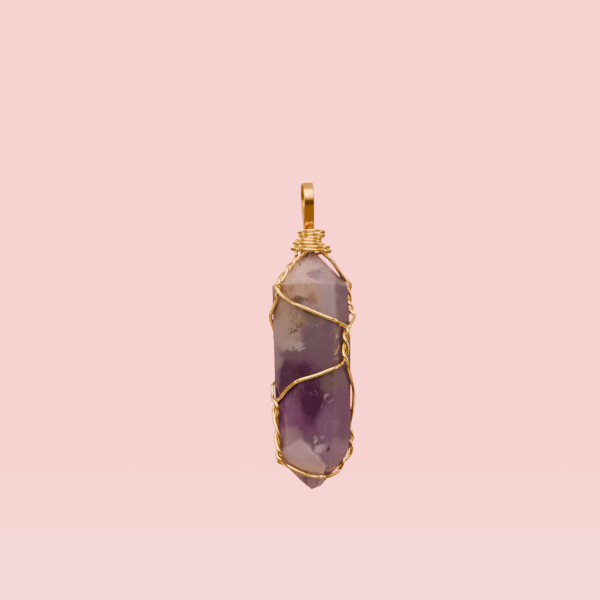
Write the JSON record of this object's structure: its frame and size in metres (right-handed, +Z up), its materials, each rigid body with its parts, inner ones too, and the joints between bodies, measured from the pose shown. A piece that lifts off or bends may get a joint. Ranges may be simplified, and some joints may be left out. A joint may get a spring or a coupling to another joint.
{
  "type": "wire-wrapped crystal pendant",
  "caption": "Double-ended faceted amethyst point caged in twisted wire, bound at the top with coiled wire round the legs of a flat strap bail.",
  "frame": {"origin": "the point inside the top of the bail's loop that a chain bears on", "axes": "+Z up along the hanging pendant, -Y the way the crystal's front face looks, +X to the right in the front view; the bail's hole runs along X"},
  "size_m": [0.0176, 0.0158, 0.0614],
  "materials": {
    "amethyst": "polished",
    "gold_strap": "polished",
    "gold_wire": "polished"
  },
  "bodies": {
    "root": {"crystal": "amethyst", "bail": "gold_strap", "front_wire": "gold_wire", "back_wire": "gold_wire", "top_binding": "gold_wire", "main_binding": "gold_wire"}
  },
  "joints": []
}
